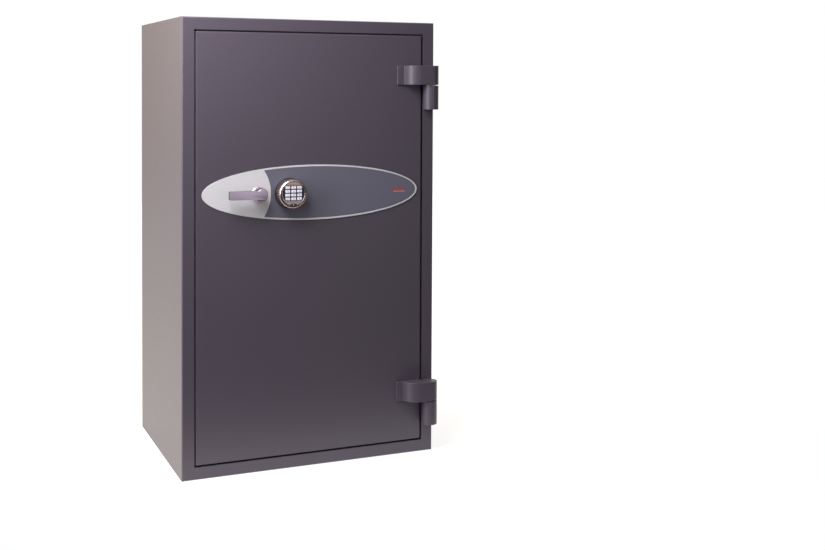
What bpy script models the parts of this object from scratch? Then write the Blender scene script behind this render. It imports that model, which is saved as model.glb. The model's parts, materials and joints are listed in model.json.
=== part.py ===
"""A free-standing high-security safe with a keypad lock, as separate parts.

Frame: metres, +X to the right seen from the front, +Y to the back, +Z up. The origin is the centre
of the base. The door hangs on two external hinges on the right. Its boltwork is drawn withdrawn:
the lever lies level, and turning it down throws the bolts.
"""
import math

import bmesh
import bpy
from mathutils import Matrix, Vector

# Cabinet
WIDTH = 0.720
DEPTH = 0.550
HEIGHT = 1.220
GAP = 0.0003                # clearance between pieces that touch
NEAR = 1e-6                 # two coordinates this close are the same
SKIN = 0.004                # casing steel
CASING_BEND = 0.005         # radius of the casing's front edges
FRAME_FACE = 0.033          # front edge of the cabinet that shows round the door
LEDGE = 0.085               # inset of the jamb's inner edge
LEDGE_BACK = 0.060          # depth of the jamb behind the front
JAMB_REBATE = 0.012         # depth of the rebate that takes the door's plate
JAMB_SKIN = 0.012
JAMB_TUCK = 0.025           # inset of the jamb's outer edge, under the casing
JAMB_LIP = 0.008
LINER_INSET = 0.057
LINER_SKIN = 0.003
LINER_FLANGE = 0.0197
LINER_FRONT = 0.057         # liner's front edge behind the front
LINER_BACK = 0.2144
BASE_HOLE = 0.008
BASE_HOLE_X = 0.220
BASE_HOLE_Y = (-0.110, 0.150)
SHELF_TOPS = (0.335, 0.610, 0.885)
SHELF_HALF = 0.2945
SHELF_FRONT = -0.140
SHELF_REAR = 0.205
SHELF_DEEP = 0.025
SHELF_SHEET = 0.0015
RAIL_Y = (-0.120, 0.150)

# Door
DOOR_HALF = 0.323
DOOR_LOW = 0.037
DOOR_HIGH = 1.183
DOOR_PLATE = 0.010
PAN_X = (-0.257, 0.269)
PAN_Z = (0.089, 1.131)
PAN_WALL = 0.003
PAN_FRONT = -0.2647
BULKHEAD = (-0.215, -0.212)
PAN_REAR = -0.165
PAN_FLANGE = 0.012
PAN_FLANGE_SHEET = 0.002
COVER = (-0.1647, -0.1627)
HARDPLATE_X = (-0.200, 0.0)
HARDPLATE_Z = (0.650, 0.850)
HARDPLATE_THICK = 0.008
SPINDLE_HOLE = 0.0085
CABLE_HOLE = 0.0035
SCREW_HOLE = 0.0023

# Hinges: pivot axis, barrel and the heights of the fixed knuckle and the door's arm
PIVOT = (0.3415, -0.297)
BARREL = 0.0215
PIN = 0.008
PIN_CLEAR = 0.0083
KNUCKLES = {"hinge_knuckle_upper": (0.9755, 1.0425), "hinge_knuckle_lower": (0.0835, 0.1505)}
ARMS = {"hinge_arm_upper": (1.0445, 1.0985), "hinge_arm_lower": (0.1525, 0.2065)}
ARM_LEFT = 0.2465           # left end of the arm's foot
ARM_RISE = 0.267            # where the arm rises from its foot
ARM_LEVEL = 0.305           # where it runs level
ARM_RIGHT = 0.322           # right edge of its seat on the door
ARM_FOOT = 0.006

# Lock furniture on the door's middle line
MIDDLE = 0.751
BADGE_HALF = (0.308, 0.075)
BADGE_BORDER = 0.0045
BADGE_ARC_X = -0.231
BADGE_ARC = 0.1115
BADGE_FRONT = -0.2773
HANDLE_X = -0.155
LEVER_FRONT = -0.320
LEVER_BACK = -0.306
LEVER_END = -0.243
LEVER_HALF = 0.0115
HUB = 0.017
SPINDLE = 0.0075
BUSH = 0.0103
KEYPAD_X = -0.068
KEYPAD = 0.040
KEYPAD_FRONT = -0.316
KEYPAD_BACK = -0.282
KEYPAD_BASE = 0.0412
SHOULDER = 0.0085           # radius of the rounded rim of the keypad's front
KEY_PITCH = (0.0164, 0.0102)
KEY_HALF = (0.0064, 0.0035)
KEY_FRONT = -0.3166
BOARD_Y = (-0.3080, -0.3064)
FIELD = 0.0312              # radius of the dark field behind the keys
FIELD_HALF = 0.0207         # and half its height
FIELD_Z = MIDDLE + 0.0025   # it sits a little above the keypad's own middle
CABLE_Z = MIDDLE + 0.032
CABLE = 0.002

# Boltwork
BOLT = 0.0125
BOLT_CLEAR = 0.0129
BOLT_Y = -0.198
BOLT_Z = (0.265, 0.495, 0.725, 0.955)
BOLT_X = (-0.120, 0.120)
BOLT_BAR_Z = (0.240, 0.980)
FIXED_BOLT = 0.011
FIXED_BOLT_Y = -0.192
BAR_HALF = 0.0110           # half the depth of the carriages' bars
BOLT_SEAT = 0.003           # how far a bolt is let into its bar
MODULE = 0.003
PRESSURE = math.radians(25)
TOOTH_THIN = 0.0003
LARGE_TEETH = 16
SMALL_TEETH = 12
LARGE_Y = (-0.1985, -0.1895)
SMALL_Y = (-0.2095, -0.2005)

FRONT = -DEPTH / 2
BACK = DEPTH / 2
DOOR_BACK = FRONT + DOOR_PLATE
BEHIND_DOOR = FRONT - GAP    # back of the pieces that sit on the door's face


# ------------------------------------------------------------------ outlines

def arc(u, v, radius, start, end, steps):
    """Points along an arc between two angles in degrees."""
    turns = [math.radians(start + (end - start) * i / steps) for i in range(steps + 1)]
    return [(u + radius * math.cos(a), v + radius * math.sin(a)) for a in turns]


def circle(u, v, radius, steps=24):
    return arc(u, v, radius, 0, 360, steps)[:-1]


def ellipse(u, v, half_u, half_v, start, end, steps):
    turns = [math.radians(start + (end - start) * i / steps) for i in range(steps + 1)]
    return [(u + half_u * math.cos(a), v + half_v * math.sin(a)) for a in turns]


def rectangle(u, v):
    """Four corners from two (low, high) pairs."""
    return [(u[0], v[0]), (u[1], v[0]), (u[1], v[1]), (u[0], v[1])]


def rounded(u, v, radii, steps=4):
    """A rectangle whose corners have their own radii, from the lower left, anticlockwise."""
    corners = ((u[0], v[0], 180), (u[1], v[0], 270), (u[1], v[1], 0), (u[0], v[1], 90))
    inward = ((1, 1), (-1, 1), (-1, -1), (1, -1))
    outline = []
    for (cu, cv, start), (du, dv), radius in zip(corners, inward, radii):
        outline += arc(cu + du * radius, cv + dv * radius, radius, start, start + 90, steps)
    return outline


def place(axis, u, v, along):
    """A point across an axis and along it, as x, y, z."""
    if axis == "X":
        return (along, u, v)
    if axis == "Y":
        return (u, along, v)
    return (u, v, along)


# ------------------------------------------------------------------ bodies

def skin_rings(bm, rings, closed):
    """Join neighbouring rings of points with faces."""
    pairs = list(zip(rings, rings[1:]))
    if closed:
        pairs.append((rings[-1], rings[0]))
    for low, high in pairs:
        count = max(len(low), len(high))
        for i in range(count):
            j = (i + 1) % count
            loop = (low[i % len(low)], low[j % len(low)], high[j % len(high)], high[i % len(high)])
            bm.faces.new(list(dict.fromkeys(loop)))


def prism(bm, outline, low, high, axis="Z"):
    """A closed outline pushed from low to high along an axis."""
    ends = [[bm.verts.new(place(axis, u, v, along)) for u, v in outline] for along in (low, high)]
    skin_rings(bm, ends, False)
    bm.faces.new(ends[0])
    bm.faces.new(reversed(ends[1]))


def block(bm, x, y, z):
    """A box from three (low, high) pairs."""
    prism(bm, rectangle(x, y), z[0], z[1])


def turned(bm, profile, centre, axis, steps=24, closed=False):
    """A profile of (radius, along) pairs turned round an axis. A radius of 0 closes an end."""
    rings = []
    for radius, along in profile:
        points = circle(centre[0], centre[1], radius, steps) if radius else [centre]
        rings.append([bm.verts.new(place(axis, u, v, along)) for u, v in points])
    skin_rings(bm, rings, closed)


def frame_sweep(bm, u, v, path, axis, capped):
    """A path of (inset, along) pairs carried round a rectangle with mitred corners.

    A path that isn't capped is a closed section. A capped one ends in a flat panel at both ends.
    """
    rings = []
    for inset, along in path:
        corners = rectangle((u[0] + inset, u[1] - inset), (v[0] + inset, v[1] - inset))
        rings.append([bm.verts.new(place(axis, cu, cv, along)) for cu, cv in corners])
    skin_rings(bm, rings, not capped)
    if capped:
        bm.faces.new(rings[0])
        bm.faces.new(reversed(rings[-1]))


def edges_at(bm, axis, value):
    """The edges that lie in a plane across an axis."""
    index = "XYZ".index(axis)
    return [edge for edge in bm.edges if all(abs(v.co[index] - value) < NEAR for v in edge.verts)]


# ------------------------------------------------------------------ objects

def clear_scene():
    for item in list(bpy.data.objects):
        bpy.data.objects.remove(item, do_unlink=True)


def make_look(name, colour, roughness, metallic=0.0):
    look = bpy.data.materials.new(name)
    look.use_nodes = True
    shader = look.node_tree.nodes["Principled BSDF"]
    shader.inputs["Base Color"].default_value = (*colour, 1.0)
    shader.inputs["Roughness"].default_value = roughness
    shader.inputs["Metallic"].default_value = metallic
    return look


def make_looks():
    return {
        "paint": make_look("body_paint", (0.080, 0.070, 0.092), 0.45),
        "liner": make_look("liner_paint", (0.420, 0.420, 0.430), 0.50),
        "fill": make_look("barrier_fill", (0.350, 0.340, 0.320), 0.95),
        "steel": make_look("plain_steel", (0.480, 0.480, 0.490), 0.40, 1.0),
        "bright": make_look("plated_steel", (0.700, 0.700, 0.710), 0.22, 1.0),
        "silver": make_look("badge_silver", (0.580, 0.580, 0.590), 0.38, 0.5),
        "panel": make_look("badge_panel", (0.105, 0.115, 0.140), 0.50),
        "satin": make_look("satin_metal", (0.420, 0.380, 0.480), 0.35, 0.8),
        "nickel": make_look("polished_nickel", (0.560, 0.500, 0.470), 0.15, 1.0),
        "dark": make_look("dark_plastic", (0.030, 0.025, 0.035), 0.45),
        "keys": make_look("key_plastic", (0.780, 0.760, 0.820), 0.40),
        "rubber": make_look("seal_rubber", (0.020, 0.020, 0.020), 0.80),
        "brass": make_look("bush_brass", (0.620, 0.430, 0.180), 0.35, 1.0),
        "board": make_look("circuit_board", (0.030, 0.160, 0.070), 0.50),
        "battery": make_look("battery_case", (0.040, 0.040, 0.045), 0.35),
    }


def add(name, bm, look, origin=(0.0, 0.0, 0.0), parent=None):
    """Make an object from bodies in world coordinates, with its origin on its joint."""
    bmesh.ops.recalc_face_normals(bm, faces=bm.faces)
    bmesh.ops.translate(bm, verts=bm.verts, vec=-Vector(origin))
    mesh = bpy.data.meshes.new(name)
    bm.to_mesh(mesh)
    bm.free()
    mesh.shade_smooth()
    mesh.set_sharp_from_angle(angle=math.radians(32))
    mesh.materials.append(look)
    item = bpy.data.objects.new(name, mesh)
    item.location = origin
    bpy.context.collection.objects.link(item)
    if parent:
        attach(item, parent)
    return item


def attach(item, pivot):
    """Parent to a pivot without moving: no pivot is turned or scaled."""
    item.parent = pivot
    item.matrix_parent_inverse = Matrix.Translation(-Vector(pivot["place"]))


def add_pivot(name, place_at, parent=None):
    pivot = bpy.data.objects.new(name, None)
    pivot.empty_display_size = 0.05
    pivot.location = place_at
    pivot["place"] = place_at
    bpy.context.collection.objects.link(pivot)
    if parent:
        attach(pivot, parent)
    return pivot


def combine(target, name, bm, operation="DIFFERENCE"):
    """Cut bodies out of a target, or join them to it, with a Boolean modifier."""
    tool = add(name, bm, target.data.materials[0])
    tool.hide_render = True
    tool.display_type = "WIRE"
    modifier = target.modifiers.new(name, "BOOLEAN")
    modifier.operation = operation
    modifier.solver = "EXACT"
    modifier.object = tool


def holes(target, name, centres, radius, low, high, axis, steps=16):
    """Drill round holes along an axis through a target."""
    bm = bmesh.new()
    for u, v in centres:
        prism(bm, circle(u, v, radius, steps), low, high, axis)
    combine(target, name, bm)


# ------------------------------------------------------------------ cabinet

CABINET_X = (-WIDTH / 2, WIDTH / 2)
CABINET_Z = (0.0, HEIGHT)
LINER_X = (-WIDTH / 2 + LINER_INSET, WIDTH / 2 - LINER_INSET)
LINER_Z = (LINER_INSET, HEIGHT - LINER_INSET)
FLOOR_TOP = LINER_INSET + LINER_SKIN
BASE_HOLES = [(x, y) for x in (-BASE_HOLE_X, BASE_HOLE_X) for y in BASE_HOLE_Y]


def make_casing(looks):
    """The outer skin, open at the back, with a return round the door opening."""
    bm = bmesh.new()
    path = [(0, BACK)] + arc(CASING_BEND, FRONT + CASING_BEND, CASING_BEND, 180, 270, 4)
    path += [(FRAME_FACE, FRONT), (FRAME_FACE, FRONT + SKIN), (SKIN, FRONT + SKIN), (SKIN, BACK)]
    frame_sweep(bm, CABINET_X, CABINET_Z, path, "Y", capped=False)
    casing = add("outer_casing", bm, looks["paint"])
    holes(casing, "casing_holes", BASE_HOLES, BASE_HOLE, -SKIN, 2 * SKIN, "Z")


def make_back_panel(looks):
    bm = bmesh.new()
    inset = SKIN + GAP
    sides = (CABINET_X[0] + inset, CABINET_X[1] - inset)
    heights = (inset, HEIGHT - inset)
    prism(bm, rectangle(sides, heights), BACK - SKIN, BACK, "Y")
    add("back_panel", bm, looks["paint"])


def make_door_frame(looks):
    """The stepped jamb: a rebate for the door plate and a lip that the bolts catch behind."""
    front = FRONT + SKIN + GAP
    rebate = FRONT + JAMB_REBATE
    back = FRONT + LEDGE_BACK
    lip = LEDGE - JAMB_LIP
    path = [(JAMB_TUCK, front), (FRAME_FACE, front), (FRAME_FACE, rebate), (LEDGE, rebate),
            (LEDGE, back), (lip, back), (lip, rebate + JAMB_SKIN), (JAMB_TUCK, rebate + JAMB_SKIN)]
    bm = bmesh.new()
    frame_sweep(bm, CABINET_X, CABINET_Z, path, "Y", capped=False)
    add("door_frame", bm, looks["paint"])


def make_barrier(looks):
    """The cast fill between the casing, the jamb and the liner."""
    outer = SKIN + GAP
    inner = LINER_INSET - GAP
    lip = LEDGE - JAMB_LIP - GAP
    tuck = JAMB_TUCK - GAP
    casing_back = FRONT + SKIN + GAP
    jamb_back = FRONT + JAMB_REBATE + JAMB_SKIN + GAP
    liner_front = FRONT + LINER_FRONT - GAP
    path = [(inner, LINER_BACK + GAP), (inner, liner_front), (lip, liner_front), (lip, jamb_back),
            (tuck, jamb_back), (tuck, casing_back), (outer, casing_back), (outer, BACK - SKIN - GAP)]
    bm = bmesh.new()
    frame_sweep(bm, CABINET_X, CABINET_Z, path, "Y", capped=True)
    barrier = add("barrier_fill", bm, looks["fill"])
    holes(barrier, "barrier_holes", BASE_HOLES, BASE_HOLE, 0, LINER_INSET + SKIN, "Z")


def make_liner(looks):
    """The inner cabinet with a flange that closes on the jamb's lip."""
    front = FRONT + LINER_FRONT
    path = [(LINER_SKIN, LINER_BACK - LINER_SKIN), (LINER_SKIN, front + LINER_SKIN),
            (LINER_FLANGE, front + LINER_SKIN), (LINER_FLANGE, front), (0, front), (0, LINER_BACK)]
    bm = bmesh.new()
    frame_sweep(bm, LINER_X, LINER_Z, path, "Y", capped=True)
    liner = add("inner_liner", bm, looks["liner"])
    holes(liner, "liner_holes", BASE_HOLES, BASE_HOLE, LINER_INSET - SKIN, FLOOR_TOP + SKIN, "Z")


def make_seal(looks):
    """A fire seal that stops just short of the closed door's plate."""
    foot = FRONT + JAMB_REBATE - GAP
    crown = foot - 0.0013
    outer, inner = 0.045, 0.065
    slope = 0.002
    path = [(outer, foot), (inner, foot), (inner - slope, crown), (outer + slope, crown)]
    bm = bmesh.new()
    frame_sweep(bm, CABINET_X, CABINET_Z, path, "Y", capped=False)
    add("door_seal", bm, looks["rubber"])


def make_shelves(looks):
    """Folded steel trays that rest on clips in four rails."""
    names = ("shelf_lower", "shelf_middle", "shelf_upper")
    for name, top in zip(names, SHELF_TOPS):
        path = [(SHELF_SHEET, top - SHELF_SHEET), (SHELF_SHEET, top - SHELF_DEEP),
                (0, top - SHELF_DEEP), (0, top)]
        bm = bmesh.new()
        frame_sweep(bm, (-SHELF_HALF, SHELF_HALF), (SHELF_FRONT, SHELF_REAR), path, "Z", capped=True)
        add(name, bm, looks["liner"])


def make_rails(looks):
    """Four upright strips, each with a welded foot under every shelf."""
    half = 0.010
    thick = 0.0025
    margin = 0.010
    foot = 0.0125
    foot_sheet = 0.0025
    outer = LINER_X[1] - LINER_SKIN - GAP
    inner = outer - thick
    low = FLOOR_TOP + margin
    high = HEIGHT - FLOOR_TOP - margin
    section = [(outer, high), (outer, low), (inner, low)]
    for top in SHELF_TOPS:
        under = top - SHELF_DEEP - GAP
        section += [(inner, under - foot_sheet), (inner - foot, under - foot_sheet),
                    (inner - foot, under), (inner, under)]
    section.append((inner, high))
    for depth, y in zip(("front", "rear"), RAIL_Y):
        for hand, side in (("left", -1), ("right", 1)):
            bm = bmesh.new()
            prism(bm, [(side * x, z) for x, z in section], y - half, y + half, "Y")
            add(f"shelf_rail_{depth}_{hand}", bm, looks["bright"])


# ------------------------------------------------------------------ hinges

def knuckle_outline():
    """A block behind the barrel that is welded to the cabinet's front edge."""
    x, y = PIVOT
    left = 0.3275
    right = x + BARREL
    start = 180 - math.degrees(math.acos((x - left) / BARREL))
    barrel = arc(x, y, BARREL, 360, start, 16)
    return [(left, BEHIND_DOOR), (right, BEHIND_DOOR)] + barrel


def arm_outline():
    """A foot on the door that rises in a quarter ellipse and runs level to the barrel."""
    x, y = PIVOT
    foot = BEHIND_DOOR - ARM_FOOT
    rise = foot - (y - BARREL)
    curve = ellipse(ARM_LEVEL, foot, ARM_LEVEL - ARM_RISE, rise, 270, 180, 12)
    barrel = arc(x, y, BARREL, 144, -90, 16)
    return [(ARM_LEFT, BEHIND_DOOR), (ARM_RIGHT, BEHIND_DOOR)] + barrel + curve + [(ARM_LEFT, foot)]


def make_hinges(looks, door):
    floor = 0.008
    for name, (low, high) in KNUCKLES.items():
        bm = bmesh.new()
        prism(bm, knuckle_outline(), low, high)
        knuckle = add(name, bm, looks["paint"])
        holes(knuckle, name + "_bore", [PIVOT], PIN_CLEAR, low + floor, high + floor, "Z", 20)
    for name, (low, high) in ARMS.items():
        bm = bmesh.new()
        prism(bm, arm_outline(), low, high)
        arm = add(name, bm, looks["paint"], (*PIVOT, low), door)
        holes(arm, name + "_bore", [PIVOT], PIN_CLEAR, low - floor, high - floor, "Z", 20)


def make_pins(looks):
    """Pins that stand in the fixed knuckles, and the thrust washers round them."""
    clear = 0.010
    chamfer = 0.001
    bore = PIN + 0.0006
    rim = 0.016
    for level, knuckle, arm in zip(("upper", "lower"), KNUCKLES.values(), ARMS.values()):
        low = knuckle[0] + clear
        high = arm[1] - clear
        profile = [(0, low), (PIN - chamfer, low), (PIN, low + chamfer), (PIN, high - chamfer),
                   (PIN - chamfer, high), (0, high)]
        bm = bmesh.new()
        turned(bm, profile, PIVOT, "Z", 20)
        add("hinge_pin_" + level, bm, looks["bright"], (*PIVOT, low))
        low = knuckle[1] + GAP
        high = arm[0] - GAP
        bm = bmesh.new()
        turned(bm, [(bore, low), (rim, low), (rim, high), (bore, high)], PIVOT, "Z", 20, closed=True)
        add("hinge_washer_" + level, bm, looks["brass"], (*PIVOT, low))


# ------------------------------------------------------------------ door

def make_front_plate(looks, door):
    bm = bmesh.new()
    prism(bm, rectangle((-DOOR_HALF, DOOR_HALF), (DOOR_LOW, DOOR_HIGH)), FRONT, DOOR_BACK, "Y")
    plate = add("door_front_plate", bm, looks["paint"], (*PIVOT, DOOR_LOW), door)
    near = (FRONT - DOOR_PLATE, DOOR_BACK + DOOR_PLATE)
    holes(plate, "plate_spindle_hole", [(HANDLE_X, MIDDLE)], BUSH + GAP, *near, "Y")
    holes(plate, "plate_cable_hole", [(KEYPAD_X, CABLE_Z)], CABLE_HOLE, *near, "Y", 12)


def cover_screw_places():
    """Screws round the rim of the back cover, along both long sides and both ends."""
    inset = 0.007
    xs = (PAN_X[0] + inset, PAN_X[1] - inset)
    zs = (PAN_Z[0] + inset, PAN_Z[1] - inset)
    rows = 4
    step = (zs[1] - zs[0]) / rows
    places = [(x, zs[0] + step * i) for x in xs for i in range(rows + 1)]
    middle = (xs[0] + xs[1]) / 2
    return places + [(middle, z) for z in zs]


def make_pan(looks, door):
    """The box behind the plate: fill in front of its bulkhead, boltwork behind it."""
    flange_front = PAN_REAR - PAN_FLANGE_SHEET
    path = [(PAN_WALL, BULKHEAD[0]), (PAN_WALL, PAN_FRONT), (0, PAN_FRONT), (0, PAN_REAR),
            (PAN_FLANGE, PAN_REAR), (PAN_FLANGE, flange_front), (PAN_WALL, flange_front),
            (PAN_WALL, BULKHEAD[1])]
    bm = bmesh.new()
    frame_sweep(bm, PAN_X, PAN_Z, path, "Y", capped=True)
    pan = add("door_pan", bm, looks["paint"], (*PIVOT, PAN_Z[0]), door)
    reach = 2 * PAN_WALL
    side = [(BOLT_Y, z) for z in BOLT_Z]
    holes(pan, "side_bolt_holes", side, BOLT_CLEAR, PAN_X[0] - reach, PAN_X[0] + reach, "X", 20)
    fixed = [(FIXED_BOLT_Y, z) for z in BOLT_Z]
    holes(pan, "fixed_bolt_holes", fixed, FIXED_BOLT + GAP, PAN_X[1] - reach, PAN_X[1] + reach, "X", 16)
    ends = [(x, BOLT_Y) for x in BOLT_X]
    holes(pan, "top_bolt_holes", ends, BOLT_CLEAR, PAN_Z[1] - reach, PAN_Z[1] + reach, "Z", 20)
    holes(pan, "bottom_bolt_holes", ends, BOLT_CLEAR, PAN_Z[0] - reach, PAN_Z[0] + reach, "Z", 20)
    near = (BULKHEAD[0] - reach, BULKHEAD[1] + reach)
    holes(pan, "bulkhead_spindle_hole", [(HANDLE_X, MIDDLE)], SPINDLE + 0.0008, *near, "Y")
    holes(pan, "bulkhead_cable_hole", [(KEYPAD_X, CABLE_Z)], CABLE_HOLE, *near, "Y", 12)
    near = (flange_front - reach, PAN_REAR + reach)
    holes(pan, "flange_screw_holes", cover_screw_places(), SCREW_HOLE, *near, "Y", 8)


def make_door_fill(looks, door):
    x = (PAN_X[0] + PAN_WALL + GAP, PAN_X[1] - PAN_WALL - GAP)
    z = (PAN_Z[0] + PAN_WALL + GAP, PAN_Z[1] - PAN_WALL - GAP)
    front = PAN_FRONT + GAP
    bm = bmesh.new()
    prism(bm, rectangle(x, z), front, BULKHEAD[0] - 2 * GAP, "Y")
    fill = add("door_barrier_fill", bm, looks["fill"], (*PIVOT, z[0]), door)
    pocket = bmesh.new()
    pocket_x = (HARDPLATE_X[0] - GAP, HARDPLATE_X[1] + GAP)
    pocket_z = (HARDPLATE_Z[0] - GAP, HARDPLATE_Z[1] + GAP)
    prism(pocket, rectangle(pocket_x, pocket_z), front - 0.005, front + HARDPLATE_THICK + GAP, "Y")
    combine(fill, "hardplate_pocket", pocket)
    through = (front - 0.010, BULKHEAD[0] + 0.010)
    holes(fill, "fill_spindle_hole", [(HANDLE_X, MIDDLE)], SPINDLE_HOLE, *through, "Y")
    holes(fill, "fill_cable_hole", [(KEYPAD_X, CABLE_Z)], CABLE_HOLE, *through, "Y", 12)


def make_hardplate(looks, door):
    front = PAN_FRONT + GAP
    bm = bmesh.new()
    prism(bm, rectangle(HARDPLATE_X, HARDPLATE_Z), front, front + HARDPLATE_THICK, "Y")
    plate = add("hardplate", bm, looks["steel"], (*PIVOT, HARDPLATE_Z[0]), door)
    through = (front - HARDPLATE_THICK, front + 2 * HARDPLATE_THICK)
    holes(plate, "hardplate_spindle_hole", [(HANDLE_X, MIDDLE)], SPINDLE_HOLE, *through, "Y")
    holes(plate, "hardplate_cable_hole", [(KEYPAD_X, CABLE_Z)], CABLE_HOLE, *through, "Y", 12)


def make_back_cover(looks, door):
    rim = 0.001
    x = (PAN_X[0] + rim, PAN_X[1] - rim)
    z = (PAN_Z[0] + rim, PAN_Z[1] - rim)
    bm = bmesh.new()
    prism(bm, rounded(x, z, (0.004,) * 4, 2), *COVER, "Y")
    cover = add("door_back_cover", bm, looks["liner"], (*PIVOT, z[0]), door)
    through = (COVER[0] - 0.004, COVER[1] + 0.004)
    holes(cover, "cover_screw_holes", cover_screw_places(), SCREW_HOLE, *through, "Y", 8)


def make_fixed_bolts(looks, door):
    """Dead bolts on the hinge side, on a strip against the inside of the pan's wall."""
    tip = 0.287
    strip = 0.004
    tail = 0.003
    half = 0.0135
    chamfer = 0.0015
    wall = PAN_X[1] - PAN_WALL - GAP
    bm = bmesh.new()
    block(bm, (wall - strip, wall), (FIXED_BOLT_Y - half, FIXED_BOLT_Y + half), BOLT_BAR_Z)
    holder = add("fixed_bolt_strip", bm, looks["bright"], (*PIVOT, MIDDLE), door)
    back = wall - strip - tail
    profile = [(0, back), (FIXED_BOLT, back), (FIXED_BOLT, tip - chamfer),
               (FIXED_BOLT - chamfer, tip), (0, tip)]
    bm = bmesh.new()
    for z in BOLT_Z:
        turned(bm, profile, (FIXED_BOLT_Y, z), "X", 20)
    combine(holder, "dead_bolts", bm, "UNION")


# ------------------------------------------------------------------ badge and handle

def panel_outline(inset):
    """The badge's inner ellipse, cut on the left by the arc of the silver field."""
    half_u = BADGE_HALF[0] - BADGE_BORDER - inset
    half_v = BADGE_HALF[1] - BADGE_BORDER - inset
    radius = BADGE_ARC + inset
    low, high = 90.0, 180.0
    for _ in range(40):
        turn = (low + high) / 2
        u = half_u * math.cos(math.radians(turn))
        v = half_v * math.sin(math.radians(turn))
        outside = math.hypot(u - BADGE_ARC_X, v) > radius
        low, high = (turn, high) if outside else (low, turn)
    side = math.degrees(math.atan2(v, u - BADGE_ARC_X))
    rim = ellipse(0, MIDDLE, half_u, half_v, -turn, turn, 64)
    return rim + arc(BADGE_ARC_X, MIDDLE, radius, side, -side, 16)[1:-1]


def make_badge(looks, door):
    """A thin oval plate with a silver rim and left field, and a darker panel let into it."""
    recess = 0.0012
    panel = 0.0008
    bm = bmesh.new()
    rim = ellipse(0, MIDDLE, *BADGE_HALF, 0, 360, 96)[:-1]
    prism(bm, rim, BADGE_FRONT, BEHIND_DOOR, "Y")
    plate = add("badge_backplate", bm, looks["silver"], (*PIVOT, MIDDLE), door)
    pocket = bmesh.new()
    prism(pocket, panel_outline(0.0), BADGE_FRONT - 0.002, BADGE_FRONT + recess, "Y")
    combine(plate, "badge_pocket", pocket)
    through = (BADGE_FRONT - 0.004, FRONT + 0.004)
    holes(plate, "badge_spindle_hole", [(HANDLE_X, MIDDLE)], 0.010, *through, "Y")
    holes(plate, "badge_cable_hole", [(KEYPAD_X, CABLE_Z)], CABLE_HOLE, *through, "Y", 12)
    bm = bmesh.new()
    front = BADGE_FRONT + recess - GAP - panel
    prism(bm, panel_outline(GAP), front, front + panel, "Y")
    inlay = add("badge_panel", bm, looks["panel"], (*PIVOT, MIDDLE), door)
    holes(inlay, "panel_cable_hole", [(KEYPAD_X, CABLE_Z)], CABLE_HOLE, *through, "Y", 12)


def make_handle(looks, door):
    """The rosette and bush stay with the door; the lever turns with the spindle."""
    axis = (HANDLE_X, MIDDLE)
    seat = BADGE_FRONT - GAP
    top = seat - 0.0060
    hole = SPINDLE + 0.0008
    rim = 0.0195
    chamfer = 0.0015
    rosette = [(hole, seat), (rim, seat), (rim, top + chamfer), (rim - chamfer, top), (hole, top)]
    bm = bmesh.new()
    turned(bm, rosette, axis, "Y", 32, closed=True)
    add("handle_rosette", bm, looks["satin"], (HANDLE_X, seat, MIDDLE), door)
    bore = SPINDLE + GAP
    bush = [(bore, FRONT), (BUSH, FRONT), (BUSH, DOOR_BACK), (bore, DOOR_BACK)]
    bm = bmesh.new()
    turned(bm, bush, axis, "Y", 24, closed=True)
    add("spindle_bush", bm, looks["brass"], (HANDLE_X, FRONT, MIDDLE), door)
    origin = (HANDLE_X, LEVER_BACK, MIDDLE)
    turn = add_pivot("handle_pivot", origin, door)
    make_lever(looks, turn, origin, top - GAP)
    make_spindle(looks, turn, origin)
    return turn


def make_lever(looks, turn, origin, hub_back):
    """A flat bar that runs left from a round hub, with a blind bore for the spindle."""
    radius = LEVER_HALF + 0.005
    edge = 0.0018
    bar = rounded((LEVER_END, HANDLE_X + radius), (MIDDLE - LEVER_HALF, MIDDLE + LEVER_HALF),
                  (0.002, LEVER_HALF - 0.001, LEVER_HALF - 0.001, 0.002), 5)
    bm = bmesh.new()
    prism(bm, bar, LEVER_FRONT, LEVER_BACK, "Y")
    rim = edges_at(bm, "Y", LEVER_FRONT)
    bmesh.ops.bevel(bm, geom=rim, offset=edge, segments=2, profile=0.5, affect="EDGES")
    lever = add("handle_lever", bm, looks["satin"], origin, turn)
    front = LEVER_FRONT + 0.002
    hub = [(0, front), (HUB - 0.004, front), (HUB - 0.0012, front + 0.0015), (HUB, front + 0.0045),
           (HUB, hub_back - 0.004), (HUB - 0.002, hub_back), (0, hub_back)]
    bm = bmesh.new()
    turned(bm, hub, (HANDLE_X, MIDDLE), "Y", 32)
    combine(lever, "lever_hub", bm, "UNION")
    bore = (LEVER_FRONT + 0.010 - GAP, hub_back + 0.004)
    holes(lever, "lever_bore", [(HANDLE_X, MIDDLE)], SPINDLE + GAP, *bore, "Y", 20)


def make_spindle(looks, turn, origin):
    front = LEVER_FRONT + 0.010
    back = -0.1830
    chamfer = 0.0008
    profile = [(0, front), (SPINDLE - chamfer, front), (SPINDLE, front + chamfer),
               (SPINDLE, back - chamfer), (SPINDLE - chamfer, back), (0, back)]
    bm = bmesh.new()
    turned(bm, profile, (HANDLE_X, MIDDLE), "Y", 20)
    add("handle_spindle", bm, looks["bright"], origin, turn)


# ------------------------------------------------------------------ boltwork

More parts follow.
